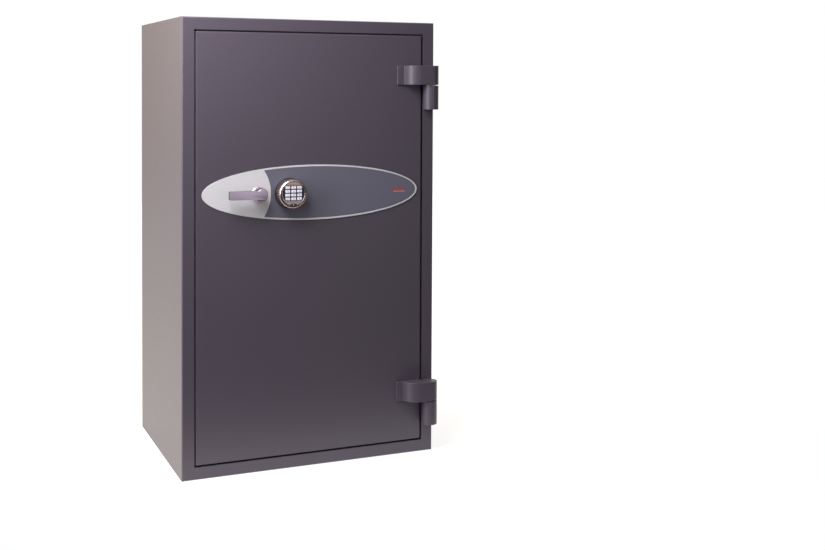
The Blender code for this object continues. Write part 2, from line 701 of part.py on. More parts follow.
TOOTH_PITCH = math.pi * MODULE
LARGE_RADIUS = MODULE * LARGE_TEETH / 2
SMALL_RADIUS = MODULE * SMALL_TEETH / 2
ADDENDUM = MODULE
DEDENDUM = 1.25 * MODULE
SIDE_BAR_X = (-0.2047, -0.1967)
TOP_BAR_Z = (1.085, 1.093)
BOTTOM_BAR_Z = (0.127, 0.135)
RACK_BODY = 0.013           # from a small rack's pitch line to its back
LARGE_RACK_TOP = 0.013
BAR_Y = (BOLT_Y - BAR_HALF, BOLT_Y + BAR_HALF)
BOLT_CHAMFER = 0.002
SIDE_BOLT_TIP = -0.259
TOP_BOLT_TIP = 1.1295
BOTTOM_BOLT_TIP = 0.0905
TAB_RIGHT = -0.0875
TAB_Z = (0.735, 0.743)


def involute(angle):
    return math.tan(angle) - angle


def gear_outline(centre, teeth):
    """Involute teeth, thinned for clearance, with one tooth centred to the right."""
    pitch_radius = MODULE * teeth / 2
    base = pitch_radius * math.cos(PRESSURE)
    root = pitch_radius - DEDENDUM
    tip = pitch_radius + ADDENDUM
    half = (TOOTH_PITCH / 2 - TOOTH_THIN) / (2 * pitch_radius) + involute(PRESSURE)
    steps = 4
    flank = [(root, half)]
    for i in range(steps + 1):
        radius = base + (tip - base) * i / steps
        flank.append((radius, half - involute(math.acos(base / radius))))
    outline = []
    for tooth in range(teeth):
        turn = 2 * math.pi * tooth / teeth
        polar = [(r, turn - a) for r, a in flank] + [(r, turn + a) for r, a in reversed(flank)]
        outline += [(centre[0] + r * math.cos(a), centre[1] + r * math.sin(a)) for r, a in polar]
    return outline


def rack_teeth(first, last):
    """Points along a rack, as (along, height over the pitch line), with a gap centred at 0."""
    half = (TOOTH_PITCH / 2 - TOOTH_THIN) / 2
    lean = math.tan(PRESSURE)
    points = []
    for tooth in range(first, last + 1):
        middle = (tooth + 0.5) * TOOTH_PITCH
        foot = half + DEDENDUM * lean
        crown = half - ADDENDUM * lean
        points += [(middle - foot, -DEDENDUM), (middle - crown, ADDENDUM),
                   (middle + crown, ADDENDUM), (middle + foot, -DEDENDUM)]
    return points


def make_pinions(looks, turn):
    axis = (HANDLE_X, MIDDLE)
    origin = (HANDLE_X, LEVER_BACK, MIDDLE)
    sizes = (("pinion_large", LARGE_TEETH, LARGE_Y), ("pinion_small", SMALL_TEETH, SMALL_Y))
    for name, teeth, depth in sizes:
        bm = bmesh.new()
        prism(bm, gear_outline(axis, teeth), *depth, "Y")
        pinion = add(name, bm, looks["steel"], origin, turn)
        bore = (depth[0] - MODULE, depth[1] + MODULE)
        holes(pinion, name + "_bore", [axis], SPINDLE + GAP, *bore, "Y", 20)


def make_side_carriage(looks, pivot):
    """An upright bar that carries the side bolts, with a rack over the large pinion."""
    pitch_z = MIDDLE + LARGE_RADIUS
    teeth = [(HANDLE_X + u, pitch_z - v) for u, v in rack_teeth(-2, 4)]
    right = teeth[-1][0] + 0.0015
    root = pitch_z + DEDENDUM
    top = pitch_z + LARGE_RACK_TOP
    left, near = SIDE_BAR_X
    overlap = near - 0.002
    rack = [(overlap, root)] + teeth + [(right, root), (right, top), (overlap, top)]
    bm = bmesh.new()
    prism(bm, rectangle(SIDE_BAR_X, BOLT_BAR_Z), *BAR_Y, "Y")
    carriage = add("side_carriage", bm, looks["steel"], pivot["place"], pivot)
    bm = bmesh.new()
    prism(bm, rack, *LARGE_Y, "Y")
    combine(carriage, "side_rack", bm, "UNION")
    weld_bolts(carriage, [(BOLT_Y, z) for z in BOLT_Z], left + BOLT_SEAT, SIDE_BOLT_TIP, "X")


def make_end_carriage(looks, name, pivot, side, bar_x, bar_z):
    """A rack beside the small pinion, its rod, and the crossbar for two bolts.

    side is 1 for the carriage right of the pinion, whose rod goes up, and -1 for the one that is
    the same turned half round, whose rod goes down.
    """
    reach = abs(sum(bar_z) / 2 - MIDDLE)
    root = SMALL_RADIUS + DEDENDUM
    back = SMALL_RADIUS + RACK_BODY
    teeth = [(SMALL_RADIUS - height, along) for along, height in rack_teeth(-5, 1)]
    low = teeth[0][1] - 0.0015
    local = [(root, low)] + teeth + [(root, reach), (back, reach), (back, low)]
    rack = [(HANDLE_X + side * u, MIDDLE + side * v) for u, v in local]
    bm = bmesh.new()
    prism(bm, rectangle(bar_x, bar_z), *BAR_Y, "Y")
    carriage = add(name, bm, looks["steel"], pivot["place"], pivot)
    bm = bmesh.new()
    prism(bm, rack, *SMALL_Y, "Y")
    combine(carriage, name + "_rack", bm, "UNION")
    return carriage


def weld_bolts(carriage, centres, inner, tip, axis):
    """Round bolts with chamfered tips, let a little way into the carriage's bar."""
    way = 1 if tip > inner else -1
    profile = [(0, inner), (BOLT, inner), (BOLT, tip - way * BOLT_CHAMFER),
               (BOLT - BOLT_CHAMFER, tip), (0, tip)]
    bm = bmesh.new()
    for centre in centres:
        turned(bm, profile, centre, axis, 24)
    combine(carriage, carriage.name + "_bolts", bm, "UNION")


def make_boltwork(looks, door, turn):
    """Three carriages, driven to the left, up and down by the two pinions."""
    make_pinions(looks, turn)
    side = add_pivot("side_bolt_slide", (SIDE_BAR_X[0], BOLT_Y, MIDDLE), door)
    make_side_carriage(looks, side)
    ends = [(x, BOLT_Y) for x in BOLT_X]
    top = add_pivot("top_bolt_slide", (0.0, BOLT_Y, TOP_BAR_Z[0]), door)
    carriage = make_end_carriage(looks, "top_carriage", top, 1, (-0.140, 0.134), TOP_BAR_Z)
    tab = bmesh.new()
    back = HANDLE_X + SMALL_RADIUS + RACK_BODY
    block(tab, (back - 0.004, TAB_RIGHT), SMALL_Y, TAB_Z)
    combine(carriage, "lock_tab", tab, "UNION")
    weld_bolts(carriage, ends, TOP_BAR_Z[1] - BOLT_SEAT, TOP_BOLT_TIP, "Z")
    bottom = add_pivot("bottom_bolt_slide", (0.0, BOLT_Y, BOTTOM_BAR_Z[0]), door)
    carriage = make_end_carriage(looks, "bottom_carriage", bottom, -1, (-0.190, 0.134), BOTTOM_BAR_Z)
    weld_bolts(carriage, ends, BOTTOM_BAR_Z[0] + BOLT_SEAT, BOTTOM_BOLT_TIP, "Z")


# ------------------------------------------------------------------ lock and keypad

LOCK_X = (-0.084, 0.004)
LOCK_Y = (-0.2117, -0.179)
LOCK_Z = (0.715, 0.771)
LOCK_BOLT_X = (-0.085, -0.050)
LOCK_BOLT_Y = (-0.208, -0.200)
LOCK_BOLT_Z = (0.745, 0.757)


def make_lock(looks, door):
    """A cast lock case on the bulkhead, whose bolt blocks the top carriage's tab."""
    bm = bmesh.new()
    prism(bm, rounded(LOCK_X, LOCK_Z, (0.004,) * 4, 3), *LOCK_Y, "Y")
    case = add("lock_case", bm, looks["steel"], (LOCK_X[0], LOCK_Y[0], MIDDLE), door)
    channel = bmesh.new()
    block(channel, (LOCK_X[0] - 0.004, LOCK_BOLT_X[1] + GAP),
          (LOCK_BOLT_Y[0] - GAP, LOCK_BOLT_Y[1] + GAP), (LOCK_BOLT_Z[0] - GAP, LOCK_BOLT_Z[1] + GAP))
    combine(case, "lock_channel", channel)
    bm = bmesh.new()
    block(bm, LOCK_BOLT_X, LOCK_BOLT_Y, LOCK_BOLT_Z)
    tip = edges_at(bm, "X", LOCK_BOLT_X[0])
    bmesh.ops.bevel(bm, geom=tip, offset=0.0012, segments=1, affect="EDGES")
    add("lock_bolt", bm, looks["brass"], (LOCK_BOLT_X[0], LOCK_BOLT_Y[0], MIDDLE), door)


def make_cable(looks, door):
    """The lead from the circuit board, straight through the door and down into the lock case."""
    bend = 0.010
    start = BOARD_Y[1] + 0.0004
    turn_y = -0.2060
    end = LOCK_Z[1] + GAP
    straight = 12
    route = [(turn_y + (start - turn_y) * (1 - i / straight), CABLE_Z) for i in range(straight)]
    route += arc(turn_y, CABLE_Z - bend, bend, 90, 0, 8)
    route.append((turn_y + bend, end))
    curve = bpy.data.curves.new("lock_cable", "CURVE")
    curve.dimensions = "3D"
    curve.bevel_depth = CABLE
    curve.bevel_resolution = 2
    curve.use_fill_caps = True
    spline = curve.splines.new("POLY")
    spline.points.add(len(route) - 1)
    for point, (y, z) in zip(spline.points, route):
        point.co = (0.0, y - start, z - CABLE_Z, 1.0)
    curve.materials.append(looks["dark"])
    cable = bpy.data.objects.new("lock_cable", curve)
    cable.location = (KEYPAD_X, start, CABLE_Z)
    bpy.context.collection.objects.link(cable)
    attach(cable, door)


def field_outline(inset):
    """A circle cut straight across at the top and bottom."""
    radius = FIELD - inset
    side = math.degrees(math.asin((FIELD_HALF - inset) / radius))
    right = arc(KEYPAD_X, FIELD_Z, radius, -side, side, 10)
    left = arc(KEYPAD_X, FIELD_Z, radius, 180 - side, 180 + side, 10)
    return right + left


def crescent_outline():
    """A recess below the keys: the rim's own curve below, a tighter one above."""
    half = 0.012
    rim = 0.0325
    crown = 0.025
    drop = math.sqrt(rim ** 2 - half ** 2)
    sagitta = drop - crown
    tight = (half ** 2 + sagitta ** 2) / (2 * sagitta)
    spread = math.degrees(math.asin(half / rim))
    upper = math.degrees(math.asin(half / tight))
    below = arc(KEYPAD_X, MIDDLE, rim, 270 - spread, 270 + spread, 8)
    above = arc(KEYPAD_X, MIDDLE - crown - tight, tight, 90 - upper, 90 + upper, 8)
    return below + above[1:-1]


def key_places():
    """Each key's name with the centre of its place in the field, row by row."""
    names = ("1", "2", "3", "4", "5", "6", "7", "8", "9", "star", "0", "hash")
    places = []
    for i, name in enumerate(names):
        row, column = divmod(i, 3)
        x = KEYPAD_X + (column - 1) * KEY_PITCH[0]
        z = FIELD_Z + (1.5 - row) * KEY_PITCH[1]
        places.append((name, row, column, x, z))
    return places


def make_keys(looks, door):
    """Twelve key caps; the four at the corners are rounded to the field's curve."""
    small = 0.0008
    large = 0.0032
    back = KEY_FRONT + 0.006
    for name, row, column, x, z in key_places():
        corners = ((3, 0), (3, 2), (0, 2), (0, 0))
        radii = [large if (row, column) == corner else small for corner in corners]
        outline = rounded((x - KEY_HALF[0], x + KEY_HALF[0]), (z - KEY_HALF[1], z + KEY_HALF[1]), radii, 3)
        bm = bmesh.new()
        prism(bm, outline, KEY_FRONT, back, "Y")
        rim = edges_at(bm, "Y", KEY_FRONT)
        bmesh.ops.bevel(bm, geom=rim, offset=0.0004, segments=1, affect="EDGES")
        add("key_" + name, bm, looks["keys"], (x, KEY_FRONT, z), door)


def make_key_face(looks, door):
    """The dark face, with a pocket through it for each key."""
    front = KEYPAD_FRONT + 0.001
    back = BOARD_Y[0] - 0.001
    bm = bmesh.new()
    prism(bm, field_outline(GAP), front, back, "Y")
    face = add("keypad_face", bm, looks["dark"], (KEYPAD_X, front, FIELD_Z), door)
    pockets = bmesh.new()
    for _, _, _, x, z in key_places():
        sides = (x - KEY_HALF[0] - GAP, x + KEY_HALF[0] + GAP)
        heights = (z - KEY_HALF[1] - GAP, z + KEY_HALF[1] + GAP)
        prism(pockets, rectangle(sides, heights), front - 0.003, back + 0.003, "Y")
    combine(face, "key_pockets", pockets)


def make_housing(looks, door):
    """The keypad's round cup, open at the back, on a thin dark base."""
    wall = 0.003
    front_wall = 0.0035
    inner_front = KEYPAD_FRONT + front_wall
    centre = (KEYPAD_X, MIDDLE)
    rim = arc(KEYPAD - SHOULDER, KEYPAD_FRONT + SHOULDER, SHOULDER, 270, 360, 8)
    profile = [(0, KEYPAD_FRONT)] + rim
    profile += [(KEYPAD, KEYPAD_BACK), (KEYPAD - wall, KEYPAD_BACK), (KEYPAD - wall, inner_front),
                (0, inner_front)]
    bm = bmesh.new()
    turned(bm, profile, centre, "Y", 48)
    housing = add("keypad_housing", bm, looks["nickel"], (KEYPAD_X, KEYPAD_BACK, MIDDLE), door)
    opening = bmesh.new()
    prism(opening, field_outline(0), KEYPAD_FRONT - 0.003, inner_front + 0.003, "Y")
    combine(housing, "field_opening", opening)
    crescent = bmesh.new()
    prism(crescent, crescent_outline(), KEYPAD_FRONT - 0.003, KEYPAD_FRONT + 0.0015, "Y")
    combine(housing, "crescent_recess", crescent)
    slot = bmesh.new()
    block(slot, (KEYPAD_X - TRAY_HALF - GAP, KEYPAD_X + TRAY_HALF + GAP),
          (TRAY_Y[0] - GAP, TRAY_Y[1] + GAP), (MIDDLE - KEYPAD - wall, MIDDLE - KEYPAD + 3 * wall))
    combine(housing, "tray_slot", slot)
    bm = bmesh.new()
    prism(bm, circle(*centre, KEYPAD_BASE, 48), KEYPAD_BACK + GAP, BADGE_FRONT - GAP, "Y")
    base = add("keypad_base", bm, looks["dark"], (KEYPAD_X, BADGE_FRONT, MIDDLE), door)
    through = (KEYPAD_BACK - 0.002, BADGE_FRONT + 0.002)
    holes(base, "base_cable_hole", [(KEYPAD_X, CABLE_Z)], CABLE_HOLE, *through, "Y", 12)
    bm = bmesh.new()
    prism(bm, circle(*centre, KEYPAD - wall - 0.001, 40), *BOARD_Y, "Y")
    add("keypad_board", bm, looks["board"], (KEYPAD_X, BOARD_Y[0], MIDDLE), door)


TRAY_HALF = 0.015
TRAY_Y = (-0.3030, -0.2833)
TRAY_TOP = 0.019
BATTERY_HALF = 0.01325
BATTERY_Y = (-0.3012, -0.2837)
BATTERY_Z = (-0.0297, 0.0188)


def make_tray(looks, door):
    """The battery tray, whose curved foot fills the slot in the bottom of the housing."""
    radius = KEYPAD - GAP
    side = math.degrees(math.asin(TRAY_HALF / radius))
    foot = arc(KEYPAD_X, MIDDLE, radius, 270 - side, 270 + side, 8)
    outline = foot + [(KEYPAD_X + TRAY_HALF, MIDDLE + TRAY_TOP), (KEYPAD_X - TRAY_HALF, MIDDLE + TRAY_TOP)]
    pivot = add_pivot("battery_slide", (KEYPAD_X, TRAY_Y[0], MIDDLE - KEYPAD), door)
    bm = bmesh.new()
    prism(bm, outline, *TRAY_Y, "Y")
    tray = add("battery_tray", bm, looks["dark"], pivot["place"], pivot)
    pocket = bmesh.new()
    block(pocket, (KEYPAD_X - BATTERY_HALF - GAP, KEYPAD_X + BATTERY_HALF + GAP),
          (BATTERY_Y[0] - GAP, TRAY_Y[1] + 0.002),
          (MIDDLE + BATTERY_Z[0] - GAP, MIDDLE + TRAY_TOP + 0.002))
    combine(tray, "battery_pocket", pocket)
    make_battery(looks, pivot)


def make_battery(looks, pivot):
    """A rectangular nine volt battery with its two snap terminals."""
    stud = 0.0028
    spacing = 0.00635
    middle_y = sum(BATTERY_Y) / 2
    bm = bmesh.new()
    sides = (KEYPAD_X - BATTERY_HALF, KEYPAD_X + BATTERY_HALF)
    heights = (MIDDLE + BATTERY_Z[0], MIDDLE + BATTERY_Z[1])
    prism(bm, rounded(sides, BATTERY_Y, (0.002,) * 4, 2), *heights)
    battery = add("battery", bm, looks["battery"], pivot["place"], pivot)
    studs = bmesh.new()
    for way in (-1, 1):
        outline = circle(KEYPAD_X + way * spacing, middle_y, stud, 12)
        prism(studs, outline, heights[1] - 0.002, heights[1] + 0.0028)
    combine(battery, "battery_studs", studs, "UNION")


# ------------------------------------------------------------------ assembly

def main():
    clear_scene()
    looks = make_looks()
    make_casing(looks)
    make_back_panel(looks)
    make_door_frame(looks)
    make_barrier(looks)
    make_liner(looks)
    make_seal(looks)
    make_shelves(looks)
    make_rails(looks)
    door = add_pivot("door_pivot", (*PIVOT, 0.0))
    make_hinges(looks, door)
    make_pins(looks)
    make_front_plate(looks, door)
    make_pan(looks, door)
    make_door_fill(looks, door)
    make_hardplate(looks, door)
    make_back_cover(looks, door)
    make_fixed_bolts(looks, door)
    make_badge(looks, door)
    turn = make_handle(looks, door)
    make_boltwork(looks, door, turn)
    make_lock(looks, door)
    make_cable(looks, door)
    make_housing(looks, door)
    make_key_face(looks, door)
    make_keys(looks, door)
    make_tray(looks, door)


main()
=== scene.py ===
"""The looks of the free-standing safe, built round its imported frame."""
import json
import math

import bmesh
import bpy
from mathutils import Matrix, Vector


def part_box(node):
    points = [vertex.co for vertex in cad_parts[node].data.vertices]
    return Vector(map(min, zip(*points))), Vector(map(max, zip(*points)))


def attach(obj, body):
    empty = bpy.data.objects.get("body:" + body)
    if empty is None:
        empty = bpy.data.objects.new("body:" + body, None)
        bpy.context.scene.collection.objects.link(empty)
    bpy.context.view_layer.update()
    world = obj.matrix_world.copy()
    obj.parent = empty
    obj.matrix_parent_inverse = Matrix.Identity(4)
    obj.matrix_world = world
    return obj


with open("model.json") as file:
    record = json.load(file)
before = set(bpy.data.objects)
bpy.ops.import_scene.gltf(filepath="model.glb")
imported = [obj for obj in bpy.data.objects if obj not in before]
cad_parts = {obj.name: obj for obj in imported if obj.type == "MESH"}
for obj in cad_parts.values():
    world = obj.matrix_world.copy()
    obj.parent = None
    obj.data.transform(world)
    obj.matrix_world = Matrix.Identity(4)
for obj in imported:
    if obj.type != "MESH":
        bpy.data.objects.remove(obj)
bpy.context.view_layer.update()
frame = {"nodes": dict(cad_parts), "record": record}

NODES = frame["nodes"]
SOFT_ANGLE = math.radians(30)
TOUCH = 0.00002             # how near a print or a screw sits to its seat
WELD = 0.00002              # points this near each other are one

# Camera: nearly level, with the picture's centre shifted below the horizon
CAMERA_PLACE = (-1.0327, -3.3268, 1.0443)
CAMERA_TURN = -23.51
CAMERA_PITCH = -1.51
CAMERA_ROLL = 0.27
FOCAL_LENGTH = 51.46
RISE = 0.1348               # how far the picture lies below the lens axis, over the distance

# Keypad details, from the keypad's axis
LENS_X = 0.005
LENS_Z = 0.0285
LENS = 0.0012               # radius of a signal lens
NUB = (0.0022, -0.0312, -0.0264)    # the recess grip's half width, foot and top
RECESS = (0.0114, 0.0323, 0.0252)   # half width, then its lower and upper edges below the middle
RECESS_DEPTH = 0.0015
RECESS_PAD = 0.0003         # thickness of the dark pad on the recess's floor
GRIP_HEIGHT = 0.0018        # the recess grip's front above the recess's floor
BEZEL = 0.0009              # width of the lip round the field of keys
BEZEL_GAP = 0.0004
SHOULDER = 0.0085           # radius of the rounded rim of the keypad's front
FIGURE = 0.0052             # size of the figures on the keys
FIGURE_DEPTH = 0.00005
FIGURE_SPREAD = 0.00006     # how much bolder than the font's own strokes

# Marks on the badge: left, right, low and high edges
BAR = (0.231, 0.270, 0.7478, 0.7562)
LINE = (0.236, 0.271, 0.7448, 0.7464)
MARK_DEPTH = 0.0001

# Fasteners
SCREW_INSET = 0.006
SCREW_ROWS = 4
BASE_HOLE_X = 0.220
BASE_HOLE_Y = (-0.110, 0.150)
LINER_SKIN = 0.003

# Studio: the floor's edges, and how far it lies under the safe's base
FLOOR_X = (-5.0, 6.0)
FLOOR_Y = (-0.55, 7.0)
FLOOR_DROP = 0.0005


# ------------------------------------------------------------------ shader graphs

def map_range(tree, value, source, result):
    """Map a linked value from the source's span to the result's, and hold it there outside."""
    node = tree.nodes.new("ShaderNodeMapRange")
    tree.links.new(value, node.inputs["Value"])
    node.inputs["From Min"].default_value, node.inputs["From Max"].default_value = source
    node.inputs["To Min"].default_value, node.inputs["To Max"].default_value = result
    return node.outputs["Result"]


class Graph:
    """A material under construction, with short calls for the nodes that it uses."""

    def __init__(self, name):
        self.material = bpy.data.materials.new(name)
        self.material.use_nodes = True
        self.tree = self.material.node_tree
        self.shader = self.tree.nodes["Principled BSDF"]
        coordinates = self.tree.nodes.new("ShaderNodeTexCoord")
        self.place = coordinates.outputs["Object"]
        self.normal = coordinates.outputs["Normal"]

    def join(self, value, socket):
        """Set a socket to a number or colour, or link it to another node's output."""
        if isinstance(value, bpy.types.NodeSocket):
            self.tree.links.new(value, socket)
        else:
            socket.default_value = value

    def stretched(self, scale):
        """The object's own coordinates, scaled along each axis."""
        node = self.tree.nodes.new("ShaderNodeMapping")
        self.join(self.place, node.inputs["Vector"])
        node.inputs["Scale"].default_value = scale
        return node.outputs["Vector"]

    def noise(self, scale, detail=3.0, roughness=0.5, vector=None):
        node = self.tree.nodes.new("ShaderNodeTexNoise")
        self.join(vector or self.place, node.inputs["Vector"])
        node.inputs["Scale"].default_value = scale
        node.inputs["Detail"].default_value = detail
        node.inputs["Roughness"].default_value = roughness
        return node.outputs["Fac"]

    def cells(self, scale):
        node = self.tree.nodes.new("ShaderNodeTexVoronoi")
        self.join(self.place, node.inputs["Vector"])
        node.inputs["Scale"].default_value = scale
        return node.outputs["Distance"]

    def span(self, value, low, high, start=0.0, end=1.0):
        """Map a value from start..end to low..high."""
        return map_range(self.tree, value, (start, end), (low, high))

    def total(self, a, b):
        node = self.tree.nodes.new("ShaderNodeMath")
        self.join(a, node.inputs[0])
        self.join(b, node.inputs[1])
        return node.outputs[0]

    def blend(self, factor, low, high):
        """A colour between two others."""
        node = self.tree.nodes.new("ShaderNodeMix")
        node.data_type = "RGBA"
        self.join(factor, node.inputs["Factor"])
        self.join(rgba(low), node.inputs["A"])
        self.join(rgba(high), node.inputs["B"])
        return node.outputs["Result"]

    def facing_front(self):
        """1 on faces turned to the object's front, 0 on its sides."""
        node = self.tree.nodes.new("ShaderNodeSeparateXYZ")
        self.join(self.normal, node.inputs["Vector"])
        return self.span(node.outputs["Y"], 1.0, 0.0, -0.62, -0.25)

    def bump(self, height, strength, distance, over=None):
        node = self.tree.nodes.new("ShaderNodeBump")
        node.inputs["Strength"].default_value = strength
        node.inputs["Distance"].default_value = distance
        self.join(height, node.inputs["Height"])
        if over:
            self.join(over, node.inputs["Normal"])
        return node.outputs["Normal"]

    def finish(self, **sockets):
        for name, value in sockets.items():
            self.join(value, self.shader.inputs[name.replace("_", " ").title()])
        return self.material


def rgba(colour):
    if isinstance(colour, bpy.types.NodeSocket):
        return colour
    return (*colour[:3], 1.0)


def tint(colour, factor):
    return tuple(min(1.0, part * factor) for part in colour[:3])


# ------------------------------------------------------------------ materials

def powder_coat(name, colour, roughness, texture=1.0):
    """A baked coat with a fine pebbled skin, pale flecks and faint drifts of tone."""
    g = Graph(name)
    drift = g.noise(1.6, 2.0, 0.4)
    grain = g.noise(620.0, 2.0, 0.6)
    tone = g.blend(g.span(drift, 0.0, 1.0, 0.3, 0.7), tint(colour, 0.98), tint(colour, 1.02))
    shade = g.blend(g.span(grain, 0.0, 0.25, 0.56, 0.72), tone, tint(colour, 1.7))
    pebbles = g.bump(g.noise(420.0, 3.0, 0.55), 0.12 * texture, 0.0010)
    peel = g.bump(g.noise(150.0, 2.0, 0.5), 0.02 * texture, 0.0010, pebbles)
    dulled = g.span(g.noise(180.0, 3.0, 0.5), roughness - 0.02, roughness + 0.02, 0.3, 0.7)
    return g.finish(base_color=shade, roughness=dulled, normal=peel)


def brushed_metal(name, colour, roughness, along, grain=1.0, metallic=1.0):
    """Metal with fine lines along one axis and faint smudges."""
    g = Graph(name)
    scale = [1400.0, 1400.0, 1400.0]
    scale["XYZ".index(along)] = 26.0
    lines = g.noise(1.0, 3.0, 0.65, g.stretched(scale))
    smudge = g.noise(28.0, 4.0, 0.6)
    shade = g.blend(g.span(lines, 0.0, 1.0, 0.25, 0.75), tint(colour, 0.90), tint(colour, 1.08))
    polish = g.span(lines, roughness - 0.05, roughness + 0.08, 0.25, 0.75)
    dulled = g.total(polish, g.span(smudge, -0.03, 0.07, 0.35, 0.7))
    ridges = g.bump(lines, 0.25 * grain, 0.0003)
    return g.finish(base_color=shade, roughness=dulled, normal=ridges, metallic=metallic)


def faced_metal(name, colour, sides, roughness):
    """Satin metal with a brushed face; its sides get a much darker colour, which is painted shade."""
    g = Graph(name)
    lines = g.noise(1.0, 3.0, 0.65, g.stretched((26.0, 1400.0, 1400.0)))
    face = g.blend(g.span(lines, 0.0, 1.0, 0.25, 0.75), tint(colour, 0.92), tint(colour, 1.06))
    # painted shade: faces turned to the sides take a dark colour in place of the face's own
    cast = g.blend(g.span(g.noise(300.0, 3.0), 0.0, 1.0, 0.3, 0.7), tint(sides, 0.8), tint(sides, 1.2))
    shade = g.blend(g.facing_front(), cast, face)
    polish = g.span(lines, roughness - 0.04, roughness + 0.08, 0.25, 0.75)
    ridges = g.bump(lines, 0.12, 0.0003)
    return g.finish(base_color=shade, roughness=polish, normal=ridges, metallic=0.88)


def polished_metal(name, colour, roughness):
    """Plated metal with fine haze and a few hairline swirls."""
    g = Graph(name)
    haze = g.noise(45.0, 5.0, 0.65)
    hairs = g.noise(1.0, 2.0, 0.5, g.stretched((90.0, 600.0, 1700.0)))
    tone = g.blend(g.span(haze, 0.0, 1.0, 0.3, 0.7), tint(colour, 0.92), tint(colour, 1.06))
    polish = g.span(haze, roughness - 0.03, roughness + 0.07, 0.35, 0.7)
    swirls = g.bump(hairs, 0.05, 0.0002)
    return g.finish(base_color=tone, roughness=polish, normal=swirls, metallic=1.0)


def moulded_plastic(name, colour, roughness, pitch=900.0, depth=0.2):
    """Plastic with a spark-eroded grain and a slight unevenness of tone."""
    g = Graph(name)
    grain = g.noise(pitch, 3.0, 0.6)
    patch = g.noise(35.0, 3.0, 0.5)
    shade = g.blend(g.span(patch, 0.0, 1.0, 0.3, 0.7), tint(colour, 0.92), tint(colour, 1.08))
    dulled = g.span(g.noise(70.0, 4.0, 0.6), roughness - 0.05, roughness + 0.08, 0.3, 0.7)
    return g.finish(base_color=shade, roughness=dulled, normal=g.bump(grain, depth, 0.0003))


def cast_fill(name, colour):
    """A cast mix with pale and dark grains of aggregate."""
    g = Graph(name)
    stones = g.cells(160.0)
    sand = g.noise(700.0, 4.0, 0.7)
    tone = g.blend(g.span(stones, 0.0, 1.0, 0.1, 0.6), tint(colour, 1.25), tint(colour, 0.8))
    shade = g.blend(g.span(sand, 0.0, 0.5, 0.4, 0.7), tone, tint(colour, 0.6))
    rough = g.span(sand, 0.85, 1.0, 0.3, 0.7)
    pits = g.bump(sand, 0.7, 0.0008, g.bump(stones, 0.5, 0.0015))
    return g.finish(base_color=shade, roughness=rough, normal=pits)


def printed_panel(name, colour, roughness):
    """A satin printed sheet: a fine metallic fleck under a thin clear face."""
    g = Graph(name)
    fleck = g.noise(1500.0, 2.0, 0.6)
    drift = g.noise(7.0, 3.0, 0.5)
    tone = g.blend(g.span(drift, 0.0, 1.0, 0.3, 0.7), tint(colour, 0.97), tint(colour, 1.03))
    shade = g.blend(g.span(fleck, 0.0, 0.4, 0.5, 0.8), tone, tint(colour, 1.5))
    dulled = g.span(g.noise(60.0, 4.0, 0.6), roughness - 0.04, roughness + 0.06, 0.3, 0.7)
    return g.finish(base_color=shade, roughness=dulled, normal=g.bump(fleck, 0.08, 0.0002))


def tinted_lens(name, colour):
    """A clouded, glossy lens."""
    g = Graph(name)
    cloud = g.noise(400.0, 2.0, 0.5)
    shade = g.blend(g.span(cloud, 0.0, 1.0, 0.3, 0.7), tint(colour, 0.8), tint(colour, 1.2))
    polish = g.span(cloud, 0.10, 0.2, 0.3, 0.7)
    return g.finish(base_color=shade, roughness=polish, normal=g.bump(cloud, 0.05, 0.0002))


def studio_floor():
    """Pale paper with the faintest fibre."""
    g = Graph("studio_floor")
    fibre = g.noise(90.0, 4.0, 0.6)
    shade = g.blend(fibre, (0.46, 0.46, 0.46), (0.50, 0.50, 0.50))
    rough = g.span(fibre, 0.85, 0.95, 0.3, 0.7)
    g.finish(emission_color=(1.0, 1.0, 1.0, 1.0), emission_strength=0.70)
    return g.finish(base_color=shade, roughness=rough, normal=g.bump(fibre, 0.02, 0.0004))


def make_materials():
    paint = (0.071, 0.0573, 0.078)
    return {
        "body_paint": powder_coat("body_paint", paint, 0.41),
        "liner_paint": powder_coat("liner_paint", (0.36, 0.36, 0.37), 0.46, 0.6),
        "barrier_mix": cast_fill("barrier_mix", (0.33, 0.32, 0.30)),
        "plain_steel": brushed_metal("plain_steel", (0.44, 0.44, 0.45), 0.36, "Z"),
        "plated_steel": brushed_metal("plated_steel", (0.66, 0.66, 0.68), 0.24, "Z", 0.6),
        "badge_silver": brushed_metal("badge_silver", (0.62, 0.60, 0.62), 0.46, "X", 0.3, 0.05),
        "badge_panel": printed_panel("badge_panel", (0.118, 0.115, 0.152), 0.42),
        # the second colour is painted shade on the sides of the parts in this finish
        "satin_metal": faced_metal("satin_metal", (0.72, 0.61, 0.76), (0.16, 0.12, 0.13), 0.32),
        "polished_nickel": polished_metal("polished_nickel", (0.50, 0.40, 0.38), 0.24),
        "dark_plastic": moulded_plastic("dark_plastic", (0.016, 0.012, 0.020), 0.40),
        "key_plastic": moulded_plastic("key_plastic", (0.84, 0.80, 0.90), 0.34, 1200.0, 0.1),
        "seal_rubber": moulded_plastic("seal_rubber", (0.018, 0.018, 0.018), 0.78, 500.0, 0.4),
        "bearing_brass": brushed_metal("bearing_brass", (0.60, 0.42, 0.18), 0.30, "Z", 0.6),
        "circuit_board": printed_panel("circuit_board", (0.02, 0.13, 0.05), 0.42),
        "cable_sheath": moulded_plastic("cable_sheath", (0.025, 0.025, 0.027), 0.5, 600.0, 0.2),
        "battery_case": moulded_plastic("battery_case", (0.035, 0.035, 0.04), 0.32, 800.0, 0.1),
        "mark_red": printed_panel("mark_red", (0.36, 0.065, 0.070), 0.45),
        "mark_grey": printed_panel("mark_grey", (0.52, 0.44, 0.45), 0.45),
        "key_print": moulded_plastic("key_print", (0.13, 0.10, 0.17), 0.5),
        "amber_lens": tinted_lens("amber_lens", (0.42, 0.19, 0.10)),
        "studio_floor": studio_floor(),
    }


# ------------------------------------------------------------------ mesh pieces

